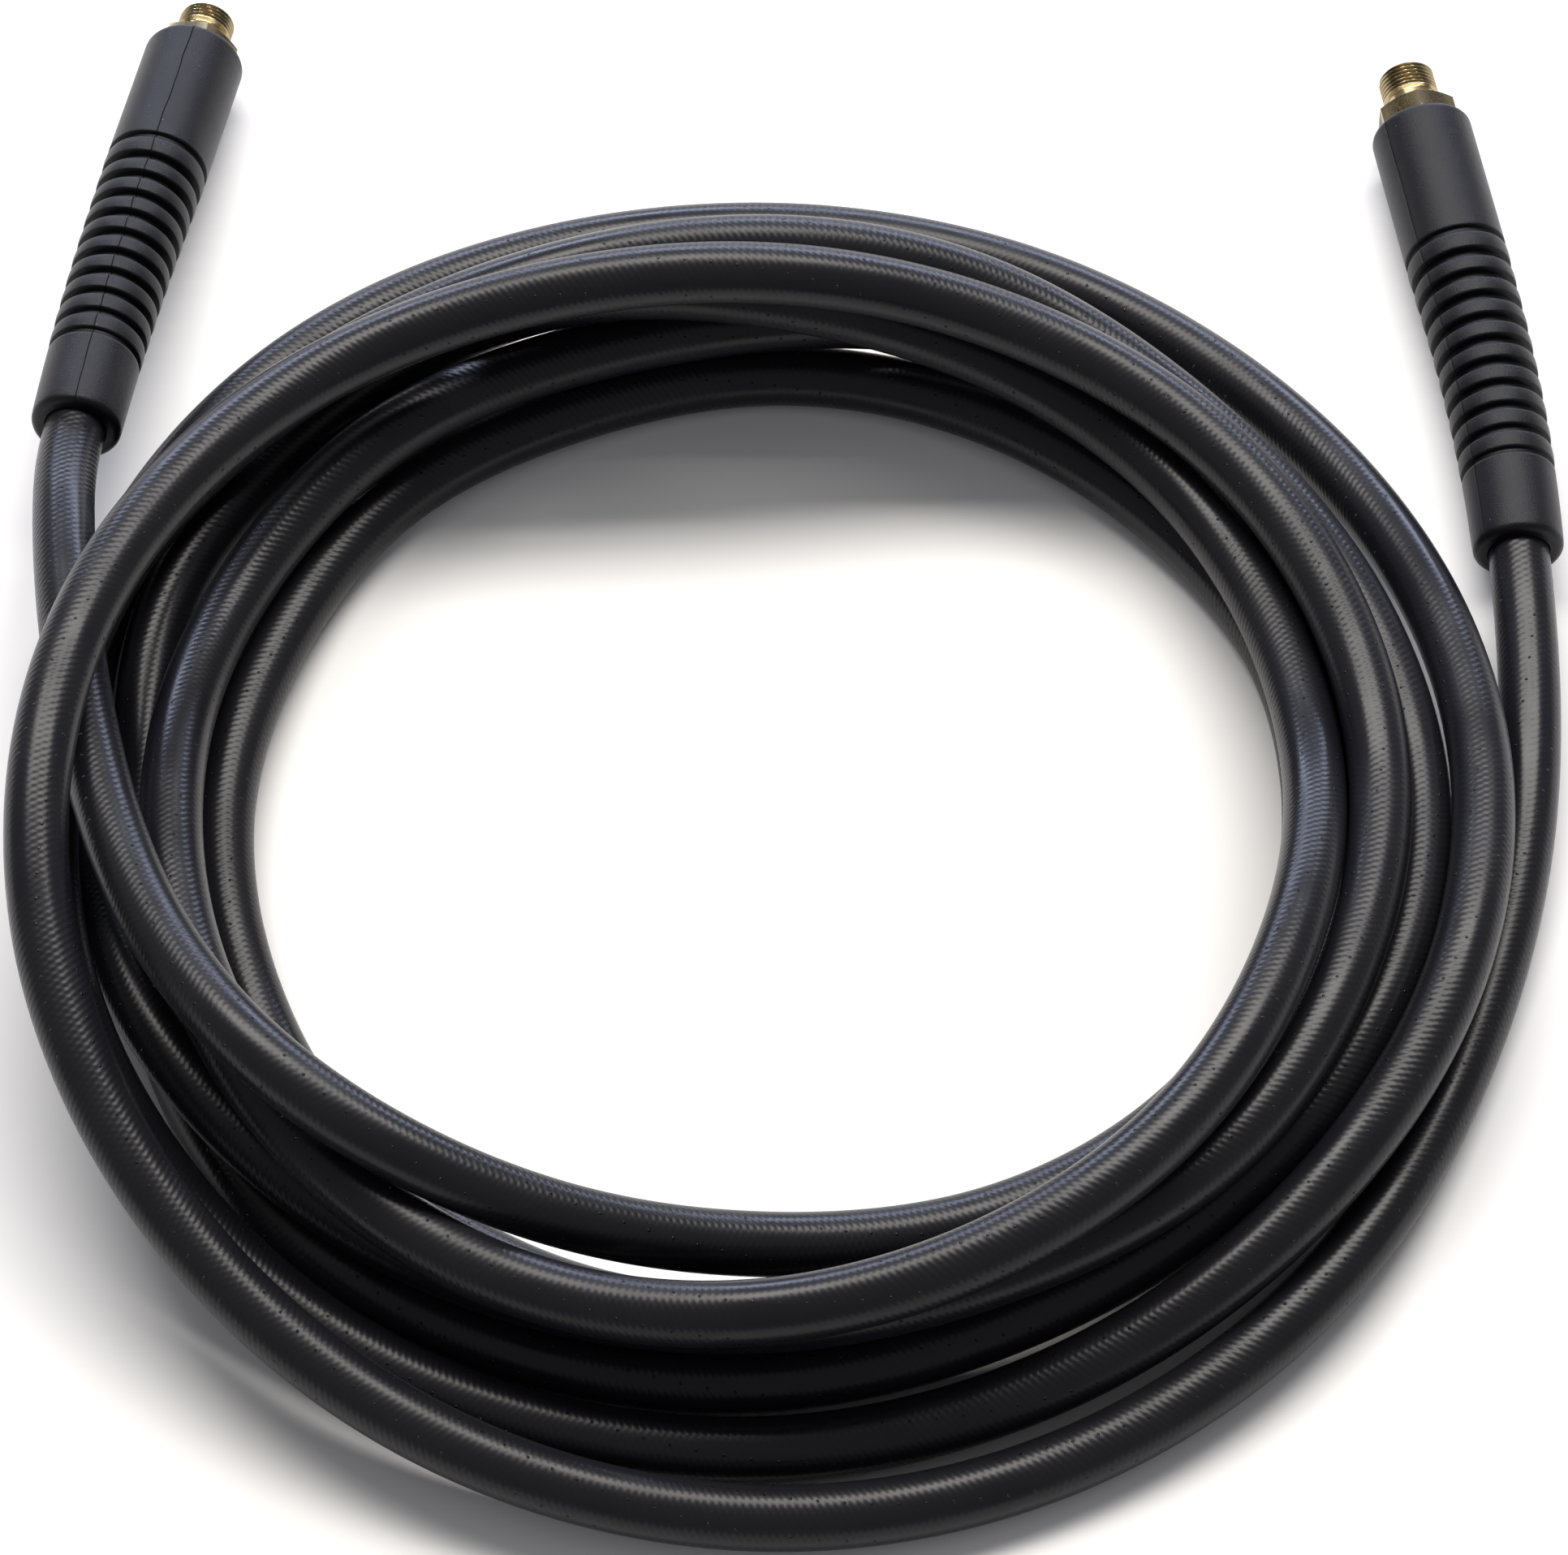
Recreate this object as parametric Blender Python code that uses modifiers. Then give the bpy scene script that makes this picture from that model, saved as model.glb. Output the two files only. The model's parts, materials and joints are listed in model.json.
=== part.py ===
"""High-pressure wash hose, loosely coiled, both ends lying at the far side of the coil.

A black rubber hose with one braid inside runs in about six and a half uneven turns. Each
end goes into a moulded ribbed grip and carries a plated steel fitting with an external
pipe thread. Metres, +Z up, origin on the floor below the middle of the whole hose.
"""

import math

import bmesh
import bpy
import numpy as np
from mathutils import Matrix, Vector

# Hose
HOSE_DIAMETER = 0.0175
HOSE_BORE = 0.0095
HOSE_IN_GRIP = 0.110
HOSE_STRAIGHT_OUT = 0.008
TAIL_SPANS = 5
HOSE_SIDES_LEVEL = 2
STEPS_BETWEEN_STATIONS = 2

# Grip, measured along its own length from the end where the hose goes in
GRIP_LENGTH = 0.154
GRIP_TOP_DIAMETER = 0.0300
GRIP_LOW_DIAMETER = 0.0260
GRIP_TOP_PLAIN = 0.0470
GRIP_LOW_PLAIN = 0.0250
GRIP_EDGE_RADIUS = 0.0018
GROOVE_COUNT = 11
GROOVE_WIDTH = 0.0030
GROOVE_DEPTH = 0.0013
GRIP_SIDES = 24
GRIP_BORE_RINGS = 8

# Fitting: a 3/8 inch parallel pipe thread, 19 threads to the inch
THREAD_DIAMETER = 0.01666
THREAD_PITCH = 0.0254 / 19
THREAD_DEPTH = 0.00086
THREAD_TIP_CHAMFER = 0.0008
NECK_DIAMETER = 0.0150
NECK_LENGTH = 0.0050
HEX_ACROSS_FLATS = 0.0220
HEX_CHAMFER = 0.0010
FITTING_BORE = 0.0050
STEM_LENGTH = 0.0250
FITTING_SIDES = 32

# Clearance between pieces that touch
GAP = 0.0003
# The hose's bore has flat sides, so the stem in it is thinner by this much all round
STEM_CLEARANCE = 0.0008

# The coil's turns, each as (distance from the coil's middle, height of the hose's middle)
# in millimetres at sixteen compass points, anticlockwise from FIRST_STATION degrees
FIRST_STATION = 157.5
STATIONS_PER_TURN = 16
TURNS = (
    ((215, 40), (186, 51), (176, 59), (170, 64), (155, 43), (141, 20), (140, 10), (145, 9),
     (149, 9), (151, 10), (153, 9), (152, 9), (152, 10), (153, 9), (151, 9), (153, 9)),
    ((151, 9), (152, 10), (153, 9), (157, 10), (159, 9), (158, 10), (158, 12), (163, 10),
     (167, 12), (169, 10), (171, 9), (171, 11), (171, 19), (160, 26), (158, 26), (161, 28)),
    ((164, 22), (164, 33), (168, 41), (174, 44), (177, 42), (175, 46), (171, 56), (162, 56),
     (153, 51), (149, 36), (150, 28), (154, 27), (155, 33), (154, 45), (171, 38), (185, 16)),
    ((185, 11), (174, 9), (178, 9), (183, 9), (180, 9), (177, 12), (175, 19), (176, 23),
     (179, 27), (179, 25), (175, 27), (173, 29), (170, 44), (160, 62), (165, 58), (185, 37)),
    ((198, 27), (198, 33), (202, 33), (201, 15), (199, 10), (196, 9), (194, 15), (194, 25),
     (196, 34), (196, 31), (197, 21), (201, 11), (204, 9), (205, 10), (207, 11), (208, 12)),
    ((204, 9), (191, 16), (184, 27), (177, 26), (171, 25), (168, 28), (169, 36), (172, 41),
     (169, 42), (167, 39), (164, 42), (161, 45), (153, 55), (143, 71), (150, 70), (170, 60)),
    ((182, 65), (194, 68), (206, 56), (212, 33), (216, 19), (217, 11), (214, 9), (209, 11),
     (204, 9), (210, 11)),
)

# Each end: where the hose leaves the grip (mm from the coil's middle), the grip's heading
# there in degrees from +Y towards -X, how far it turns before it reaches the fitting's stem,
# how much it climbs, and the lengths of hex and thread that stand out of the grip
ENDS = {
    "left": {"low": (-198, 116, 33.4), "heading": -6.9, "bow": -3.6, "climb": -6.9,
             "hex": 0.0045, "thread": 0.0067},
    "right": {"low": (213, 86, 14.9), "heading": 1.6, "bow": 8.0, "climb": 0.05,
              "hex": 0.0070, "thread": 0.0087},
}

MM = 0.001


def clear_scene():
    for found in list(bpy.data.objects):
        bpy.data.objects.remove(found, do_unlink=True)


def new_collection(name, rendered=True):
    collection = bpy.data.collections.new(name)
    collection.hide_render = not rendered
    bpy.context.scene.collection.children.link(collection)
    return collection


def plain_material(name, colour, roughness, metallic):
    material = bpy.data.materials.new(name)
    material.use_nodes = True
    shader = material.node_tree.nodes["Principled BSDF"]
    shader.inputs["Base Color"].default_value = (*colour, 1.0)
    shader.inputs["Roughness"].default_value = roughness
    shader.inputs["Metallic"].default_value = metallic
    return material


def grip_axis(end, along):
    """Point on the bowed middle line of a grip, and its direction there.

    The heading turns evenly over the stretch that has no steel inside, from the hose's end of
    the grip to the fitting's stem. Before and after that stretch the line is straight.
    """
    start = math.radians(end["heading"])
    turn = math.radians(end["bow"])
    climb = math.radians(end["climb"])
    bending = HOSE_IN_GRIP - STEM_LENGTH
    inside = min(max(along, 0.0), bending)
    heading = start + turn * inside / bending
    arc = bending / turn
    flat = Vector((arc * (math.cos(heading) - math.cos(start)),
                   arc * (math.sin(heading) - math.sin(start)), 0.0))
    point = Vector(end["low"]) * MM + flat * math.cos(climb)
    point.z += inside * math.sin(climb)
    direction = Vector((-math.sin(heading) * math.cos(climb),
                        math.cos(heading) * math.cos(climb), math.sin(climb)))
    return point + direction * (along - inside), direction


def station_points():
    """The coil's stations as points around the coil's middle."""
    points = []
    step = 360 / STATIONS_PER_TURN
    for turn in TURNS:
        for radius, height in turn:
            angle = math.radians(FIRST_STATION + step * len(points))
            points.append((radius * MM * math.cos(angle), radius * MM * math.sin(angle),
                           height * MM))
    return points


def route_points():
    """Every point that the hose's middle line goes through, from the left end to the right."""
    tail = [-HOSE_STRAIGHT_OUT]
    tail += [HOSE_IN_GRIP * k / TAIL_SPANS for k in range(TAIL_SPANS + 1)]
    left = [tuple(grip_axis(ENDS["left"], along)[0]) for along in reversed(tail)]
    right = [tuple(grip_axis(ENDS["right"], along)[0]) for along in tail]
    return np.array(left + station_points() + right)


def smooth_curve(points, steps):
    """Points on the natural cubic spline through points, steps to each span.

    The spline's parameter is the straight distance from point to point. Its second
    derivatives m solve h0*m0 + 2*(h0 + h1)*m1 + h1*m2 = 6*(slope1 - slope0) at each point.
    """
    spans = np.linalg.norm(np.diff(points, axis=0), axis=1)
    slopes = np.diff(points, axis=0) / spans[:, None]
    count = len(points)
    system = np.eye(count)
    right_side = np.zeros((count, 3))
    inner = np.arange(1, count - 1)
    system[inner, inner - 1] = spans[:-1]
    system[inner, inner] = 2 * (spans[:-1] + spans[1:])
    system[inner, inner + 1] = spans[1:]
    right_side[inner] = 6 * np.diff(slopes, axis=0)
    bends = np.linalg.solve(system, right_side)
    share = np.tile(np.arange(steps) / steps, count - 1)[:, None]
    span = np.repeat(np.arange(count - 1), steps)
    width = spans[span][:, None]
    before, after = points[span], points[span + 1]
    curved = ((1 - share) ** 3 - (1 - share)) * bends[span] + (share ** 3 - share) * bends[span + 1]
    return np.vstack([(1 - share) * before + share * after + width ** 2 / 6 * curved, points[-1:]])


def make_hose(collection):
    """The hose: one open tube with its real bore, along the whole route."""
    path = smooth_curve(route_points(), STEPS_BETWEEN_STATIONS)
    curve = bpy.data.curves.new("hose_route", "CURVE")
    curve.dimensions = "3D"
    curve.bevel_depth = HOSE_DIAMETER / 2
    curve.bevel_resolution = HOSE_SIDES_LEVEL
    curve.use_fill_caps = False
    spline = curve.splines.new("POLY")
    spline.points.add(len(path) - 1)
    spline.points.foreach_set("co", np.c_[path, np.ones(len(path))].ravel())
    guide = bpy.data.objects.new("hose_guide", curve)
    collection.objects.link(guide)
    bpy.context.view_layer.update()
    tube = guide.evaluated_get(bpy.context.evaluated_depsgraph_get())
    mesh = bpy.data.meshes.new_from_object(tube)
    bpy.data.objects.remove(guide)
    mesh.name = "hose"
    hose = bpy.data.objects.new("hose", mesh)
    collection.objects.link(hose)
    outward(mesh, path)
    wall = hose.modifiers.new("wall", "SOLIDIFY")
    wall.thickness = (HOSE_DIAMETER - HOSE_BORE) / 2
    wall.offset = -1.0
    return hose


def outward(mesh, path):
    """Turns the open tube's faces away from its middle line."""
    surface = bmesh.new()
    surface.from_mesh(mesh)
    surface.faces.ensure_lookup_table()
    face = surface.faces[0]
    middle = face.calc_center_median()
    nearest = path[np.argmin(np.linalg.norm(path - np.array(middle), axis=1))]
    if face.normal.dot(middle - Vector(nearest)) < 0:
        bmesh.ops.reverse_faces(surface, faces=surface.faces)
    surface.to_mesh(mesh)
    surface.free()


def turned(name, profile, sides, collection):
    """A ring turned about Z from a closed outline of (radius, height) points.

    The outline starts at the top of the outer side and runs down it, then up the bore.
    """
    mesh = bpy.data.meshes.new(name)
    edges = [(k, (k + 1) % len(profile)) for k in range(len(profile))]
    mesh.from_pydata([(radius, 0.0, height) for radius, height in profile], edges, [])
    piece = bpy.data.objects.new(name, mesh)
    collection.objects.link(piece)
    lathe = piece.modifiers.new("turn", "SCREW")
    lathe.steps = sides
    lathe.render_steps = sides
    lathe.use_merge_vertices = True
    lathe.merge_threshold = 0.00001
    return piece


def grip_radius(along):
    """The grip's outer radius: plain at the thick end, then an even taper to the hose."""
    taper = GRIP_LENGTH - GRIP_TOP_PLAIN
    share = min(along / taper, 1.0)
    return (GRIP_LOW_DIAMETER + (GRIP_TOP_DIAMETER - GRIP_LOW_DIAMETER) * share) / 2


def groove_centres():
    first = GRIP_LOW_PLAIN + GROOVE_WIDTH / 2
    last = GRIP_LENGTH - GRIP_TOP_PLAIN - GROOVE_WIDTH / 2
    return [first + (last - first) * k / (GROOVE_COUNT - 1) for k in range(GROOVE_COUNT)]


def grip_outline():
    """Outline of the grip, from its thick end down to the hose and back up the bore."""
    edge = GRIP_EDGE_RADIUS
    bore = HOSE_DIAMETER / 2 + GAP
    top = grip_radius(GRIP_LENGTH)
    low = grip_radius(0.0)
    outline = [(top - edge, GRIP_LENGTH), (top - 0.3 * edge, GRIP_LENGTH - 0.3 * edge),
               (top, GRIP_LENGTH - edge)]
    for centre in reversed(groove_centres()):
        for side, depth in ((0.5, 0.0), (0.3, 1.0), (-0.3, 1.0), (-0.5, 0.0)):
            along = centre + side * GROOVE_WIDTH
            outline.append((grip_radius(along) - depth * GROOVE_DEPTH, along))
    outline += [(low, edge), (low - 0.3 * edge, 0.3 * edge), (low - edge, 0.0)]
    outline += [(bore, GRIP_LENGTH * k / GRIP_BORE_RINGS) for k in range(GRIP_BORE_RINGS + 1)]
    return outline


def finished_mesh(piece):
    """Replaces the object's mesh by the one that its modifiers make."""
    bpy.context.view_layer.update()
    made = piece.evaluated_get(bpy.context.evaluated_depsgraph_get())
    mesh = bpy.data.meshes.new_from_object(made)
    piece.modifiers.clear()
    piece.data = mesh
    mesh.name = piece.name
    return mesh


def axis_frame(end, along):
    """Matrix that carries a piece standing along Z onto the grip's line at this place."""
    point, direction = grip_axis(end, along)
    across = Vector((0, 0, 1)).cross(direction).normalized()
    upward = direction.cross(across)
    frame = Matrix((across, upward, direction)).transposed().to_4x4()
    frame.translation = point
    return frame


def make_grip(side, collection):
    """The grip: turned straight, then carried onto its bowed line ring by ring."""
    end = ENDS[side]
    piece = turned("grip_" + side, grip_outline(), GRIP_SIDES, collection)
    mesh = finished_mesh(piece)
    for vertex in mesh.vertices:
        frame = axis_frame(end, vertex.co.z)
        vertex.co = frame @ Vector((vertex.co.x, vertex.co.y, 0.0))
    return piece


def fitting_outline(end):
    """Outline of the fitting, from its threaded tip down to the stem and back up the bore."""
    crest = THREAD_DIAMETER / 2
    root = crest - THREAD_DEPTH
    seat = GRIP_LENGTH + GAP
    shoulder = seat + end["hex"]
    corner = HEX_ACROSS_FLATS / 2 / math.cos(math.radians(30))
    thread_start = shoulder + NECK_LENGTH
    tip = thread_start + end["thread"]
    outline = [(crest - THREAD_TIP_CHAMFER, tip), (crest, tip - THREAD_TIP_CHAMFER)]
    ridges = int((end["thread"] - THREAD_TIP_CHAMFER) / THREAD_PITCH)
    for ridge in range(ridges):
        top = tip - THREAD_TIP_CHAMFER - ridge * THREAD_PITCH
        outline += [(root, top - 0.5 * THREAD_PITCH), (crest, top - THREAD_PITCH)]
    outline += [(NECK_DIAMETER / 2, thread_start), (NECK_DIAMETER / 2, shoulder)]
    outline += [(corner - HEX_CHAMFER * 2, shoulder), (corner + GAP, shoulder - HEX_CHAMFER)]
    outline += [(corner + GAP, seat), (HOSE_DIAMETER / 2, seat)]
    outline += [(HOSE_DIAMETER / 2, HOSE_IN_GRIP + GAP)]
    stem = HOSE_BORE / 2 - STEM_CLEARANCE
    outline += [(stem, HOSE_IN_GRIP + GAP), (stem, HOSE_IN_GRIP - STEM_LENGTH)]
    outline += [(FITTING_BORE / 2, HOSE_IN_GRIP - STEM_LENGTH), (FITTING_BORE / 2, tip)]
    return outline


def make_fitting(side, collection, cutters):
    """The fitting: turned in one piece, with six flats cut by a hexagonal prism."""
    end = ENDS[side]
    piece = turned("fitting_" + side, fitting_outline(end), FITTING_SIDES, collection)
    blank = bmesh.new()
    bmesh.ops.create_cone(blank, cap_ends=True, segments=6, depth=4 * GRIP_LENGTH,
                          radius1=HEX_ACROSS_FLATS / 2 / math.cos(math.radians(30)),
                          radius2=HEX_ACROSS_FLATS / 2 / math.cos(math.radians(30)))
    mesh = bpy.data.meshes.new("hex_blank_" + side)
    blank.to_mesh(mesh)
    blank.free()
    prism = bpy.data.objects.new("hex_blank_" + side, mesh)
    cutters.objects.link(prism)
    prism.hide_render = True
    prism.display_type = "WIRE"
    flats = piece.modifiers.new("flats", "BOOLEAN")
    flats.operation = "INTERSECT"
    flats.object = prism
    mesh = finished_mesh(piece)
    mesh.transform(axis_frame(end, HOSE_IN_GRIP) @ Matrix.Translation((0, 0, -HOSE_IN_GRIP)))
    return piece


def stand_on_origin(pieces):
    """Moves every mesh so that the origin is on the floor below the middle of the whole."""
    bpy.context.view_layer.update()
    graph = bpy.context.evaluated_depsgraph_get()
    corners = []
    for piece in pieces:
        mesh = piece.evaluated_get(graph).to_mesh()
        points = np.empty(len(mesh.vertices) * 3, np.float32)
        mesh.vertices.foreach_get("co", points)
        corners.append(points.reshape(-1, 3))
    points = np.vstack(corners).astype(float)
    low, high = points.min(axis=0), points.max(axis=0)
    shift = Vector((-(low[0] + high[0]) / 2, -(low[1] + high[1]) / 2, -low[2]))
    for piece in pieces:
        piece.data.transform(Matrix.Translation(shift))
    return shift


def main():
    clear_scene()
    collection = new_collection("pressure_washer_hose")
    cutters = new_collection("cutters", rendered=False)
    black_rubber = plain_material("black_hose_rubber", (0.012, 0.012, 0.014), 0.42, 0.0)
    grip_rubber = plain_material("black_grip_rubber", (0.016, 0.016, 0.018), 0.60, 0.0)
    plated_steel = plain_material("yellow_plated_steel", (0.42, 0.36, 0.22), 0.30, 1.0)
    hose = make_hose(collection)
    hose.data.materials.append(black_rubber)
    pieces = [hose]
    for side in ENDS:
        grip = make_grip(side, collection)
        grip.data.materials.clear()
        grip.data.materials.append(grip_rubber)
        fitting = make_fitting(side, collection, cutters)
        fitting.data.materials.clear()
        fitting.data.materials.append(plated_steel)
        pieces += [grip, fitting]
    stand_on_origin(pieces)
    for piece in pieces:
        piece.data.shade_smooth()
        piece.data.set_sharp_from_angle(angle=math.radians(30))


main()
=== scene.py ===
# %% [markdown]
# # A pressure washer hose, loosely coiled
#
# The real thing is a black rubber hose with one braid of steel wire inside. It lies on the floor in
# about six and a half uneven turns. Each end goes into a moulded rubber grip with ribs, and each grip
# carries a steel fitting with a pipe thread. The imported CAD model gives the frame: this file loads
# it, builds a finer surface for each piece in the same place, and gives each its finish.

# %% Load the frame
import json
import math

import bpy
import numpy as np
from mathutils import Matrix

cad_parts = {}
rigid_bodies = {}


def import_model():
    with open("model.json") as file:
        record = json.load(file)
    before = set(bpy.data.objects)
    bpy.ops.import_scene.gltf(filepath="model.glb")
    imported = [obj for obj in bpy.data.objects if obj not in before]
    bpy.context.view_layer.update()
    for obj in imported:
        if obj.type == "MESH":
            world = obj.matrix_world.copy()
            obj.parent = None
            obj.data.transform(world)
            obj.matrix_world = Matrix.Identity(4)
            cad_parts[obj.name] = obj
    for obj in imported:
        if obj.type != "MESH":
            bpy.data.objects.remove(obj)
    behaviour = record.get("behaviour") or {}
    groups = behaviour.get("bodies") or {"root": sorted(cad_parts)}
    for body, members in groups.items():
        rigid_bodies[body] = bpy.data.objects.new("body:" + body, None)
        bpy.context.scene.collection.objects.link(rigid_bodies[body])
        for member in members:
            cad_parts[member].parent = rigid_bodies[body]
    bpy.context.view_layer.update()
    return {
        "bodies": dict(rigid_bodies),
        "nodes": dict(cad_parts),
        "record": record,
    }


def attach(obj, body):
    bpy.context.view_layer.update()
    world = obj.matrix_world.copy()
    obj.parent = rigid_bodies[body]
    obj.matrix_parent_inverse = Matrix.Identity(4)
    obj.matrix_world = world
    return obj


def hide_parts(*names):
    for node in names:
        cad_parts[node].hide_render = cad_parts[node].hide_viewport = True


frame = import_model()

print("CAD nodes:", sorted(frame["nodes"]))

# %% [markdown]
# ## Real sizes
#
# The photo has no ruler in it, so the scale is taken from the thread, as near as it can be read. The
# pitch looks like 0.085 to 0.09 of the diameter, and a few standard threads come close to that. The
# 3/8 inch parallel pipe thread, with 0.080, was chosen because it gives the hose a usual size. The
# sizes below are the ones of the CAD source, because each fine piece has to lie exactly where its
# plain solid lies. Everything is in metres.

# %% Real sizes
MM = 0.001
HOSE_DIAMETER = 17.5 * MM
HOSE_IN_GRIP = 110 * MM
HOSE_STRAIGHT_OUT = 8 * MM
TAIL_SPANS = 5
GRIP_LENGTH = 154 * MM
GRIP_TOP_DIAMETER = 30 * MM
GRIP_LOW_DIAMETER = 26 * MM
GRIP_TOP_PLAIN = 47 * MM
GRIP_LOW_PLAIN = 25 * MM
GROOVE_COUNT = 11
GROOVE_WIDTH = 3 * MM
STEM_LENGTH = 25 * MM
THREAD_DIAMETER = 16.66 * MM
THREAD_PITCH = 25.4 / 19 * MM
THREAD_DEPTH = 0.86 * MM
NECK_DIAMETER = 15 * MM
NECK_LENGTH = 5 * MM
HEX_ACROSS_FLATS = 22 * MM
FITTING_BORE = 5 * MM
GAP = 0.3 * MM
CAD_TIP_CHAMFER = 0.8 * MM

# %% [markdown]
# ## Where the hose runs
#
# A hose is one length of something bendy, so its shape is a single smooth line and a diameter. The
# line is kept as a short table: seven turns of sixteen compass points, each with its distance from
# the coil's middle and its height above the floor, in mm. A smooth curve goes through the points.
# This is easier to read and to correct than hundreds of coordinates, and no turn can drift off the
# others. Each end has the point where its grip begins, in mm, then the grip's heading there, how far
# it bows and how it climbs, in degrees, and how much of its hexagon and thread looks out.

# %% The coil's points
FIRST_STATION = 157.5
STATIONS_PER_TURN = 16
TURNS = (
    ((215, 40), (186, 51), (176, 59), (170, 64), (155, 43), (141, 20), (140, 10), (145, 9),
     (149, 9), (151, 10), (153, 9), (152, 9), (152, 10), (153, 9), (151, 9), (153, 9)),
    ((151, 9), (152, 10), (153, 9), (157, 10), (159, 9), (158, 10), (158, 12), (163, 10),
     (167, 12), (169, 10), (171, 9), (171, 11), (171, 19), (160, 26), (158, 26), (161, 28)),
    ((164, 22), (164, 33), (168, 41), (174, 44), (177, 42), (175, 46), (171, 56), (162, 56),
     (153, 51), (149, 36), (150, 28), (154, 27), (155, 33), (154, 45), (171, 38), (185, 16)),
    ((185, 11), (174, 9), (178, 9), (183, 9), (180, 9), (177, 12), (175, 19), (176, 23),
     (179, 27), (179, 25), (175, 27), (173, 29), (170, 44), (160, 62), (165, 58), (185, 37)),
    ((198, 27), (198, 33), (202, 33), (201, 15), (199, 10), (196, 9), (194, 15), (194, 25),
     (196, 34), (196, 31), (197, 21), (201, 11), (204, 9), (205, 10), (207, 11), (208, 12)),
    ((204, 9), (191, 16), (184, 27), (177, 26), (171, 25), (168, 28), (169, 36), (172, 41),
     (169, 42), (167, 39), (164, 42), (161, 45), (153, 55), (143, 71), (150, 70), (170, 60)),
    ((182, 65), (194, 68), (206, 56), (212, 33), (216, 19), (217, 11), (214, 9), (209, 11),
     (204, 9), (210, 11)),
)
ENDS = {
    "left": {"low": (-198, 116, 33.4), "heading": -6.9, "bow": -3.6, "climb": -6.9,
             "hex": 4.5 * MM, "thread": 6.7 * MM},
    "right": {"low": (213, 86, 14.9), "heading": 1.6, "bow": 8.0, "climb": 0.05,
              "hex": 7.0 * MM, "thread": 8.7 * MM},
}
BENDING = HOSE_IN_GRIP - STEM_LENGTH


def grip_line(end, along):
    """Points and directions on a grip's middle line, at distances along it from the hose's side.

    The heading turns evenly over the stretch without steel inside, so that stretch is an arc, and
    the line is straight before and after it.
    """
    along = np.asarray(along, float)
    start, turn, climb = np.radians([end["heading"], end["bow"], end["climb"]])
    inside = np.clip(along, 0, BENDING)
    heading = start + turn * inside / BENDING
    arc = BENDING / turn * math.cos(climb)
    point = np.stack([arc * (np.cos(heading) - np.cos(start)),
                      arc * (np.sin(heading) - np.sin(start)), inside * np.sin(climb)], axis=-1)
    direction = np.stack([-np.sin(heading) * np.cos(climb), np.cos(heading) * np.cos(climb),
                          np.full_like(heading, np.sin(climb))], axis=-1)
    return np.array(end["low"]) * MM + point + direction * (along - inside)[..., None], direction


table = np.array([station for turn in TURNS for station in turn]) * MM
compass = np.radians(FIRST_STATION + 360 / STATIONS_PER_TURN * np.arange(len(table)))
stations = np.stack([table[:, 0] * np.cos(compass), table[:, 0] * np.sin(compass), table[:, 1]], axis=1)
tail = np.r_[-HOSE_STRAIGHT_OUT, HOSE_IN_GRIP * np.arange(TAIL_SPANS + 1) / TAIL_SPANS]
route = np.vstack([grip_line(ENDS["left"], tail[::-1])[0], stations, grip_line(ENDS["right"], tail)[0]])

# %% [markdown]
# ## From the coil's middle to the model's origin
#
# The table counts from the middle of the coil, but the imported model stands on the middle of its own
# box. The record holds a point on each fitting's ring-shaped end face, halfway from the bore to the
# edge and straight above the middle. The step between the two is the difference at the left one, and
# the right one shows whether both agree.


# %% Step to the model's origin
def ring_frames(direction):
    """Two directions square to each line direction: one level, to its left, and one upward."""
    across = np.cross([0.0, 0.0, 1.0], direction)
    across /= np.linalg.norm(across, axis=1)[:, None]
    return across, np.cross(direction, across)


def face_point(end):
    """A point on a fitting's end face, above the middle line by the ring's middle radius."""
    tip, direction = grip_line(end, [GRIP_LENGTH + GAP + end["hex"] + NECK_LENGTH + end["thread"]])
    outer = THREAD_DIAMETER / 2 - CAD_TIP_CHAMFER
    return (tip + (FITTING_BORE / 2 + outer) / 2 * ring_frames(direction)[1])[0]


faces = {mount["name"].split("_")[0]: np.array(mount["pos_m"]) for mount in frame["record"]["mounts"]}
to_origin = faces["left"] - face_point(ENDS["left"])
left_over = faces["right"] - face_point(ENDS["right"]) - to_origin
print("step to the origin in mm:", (1000 * to_origin).round(2),
      "and the right end is off by", (1000 * left_over).round(2))

# %% [markdown]
# ## The camera
#
# The grooves of the grips are circles that the photograph shows as ellipses, and their flatness says
# that the camera looks down at 57 degrees. The coil's size in the picture then gives the distance,
# and a long lens keeps the far turns nearly as thick as the near ones.

# %% The camera
CAMERA_FROM_COIL = np.array([0.003854, -0.97140, 1.52579])
camera_data = bpy.data.cameras.new("camera")
camera_data.sensor_width = 36.0
camera_data.lens = 148.66
camera = bpy.data.objects.new("camera", camera_data)
camera.location = CAMERA_FROM_COIL + to_origin
camera.rotation_euler = (math.radians(33.0), 0.0, 0.0)
bpy.context.scene.collection.objects.link(camera)
bpy.context.scene.camera = camera
print("camera at", [round(value, 3) for value in camera.location])


# %% [markdown]
# ## A smooth line through the points
#
# A natural cubic spline bends as little as it can while it meets every point, much as a springy hose
# does. Its unknowns are the bends at the points, found by solving one small system of equations.

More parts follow.
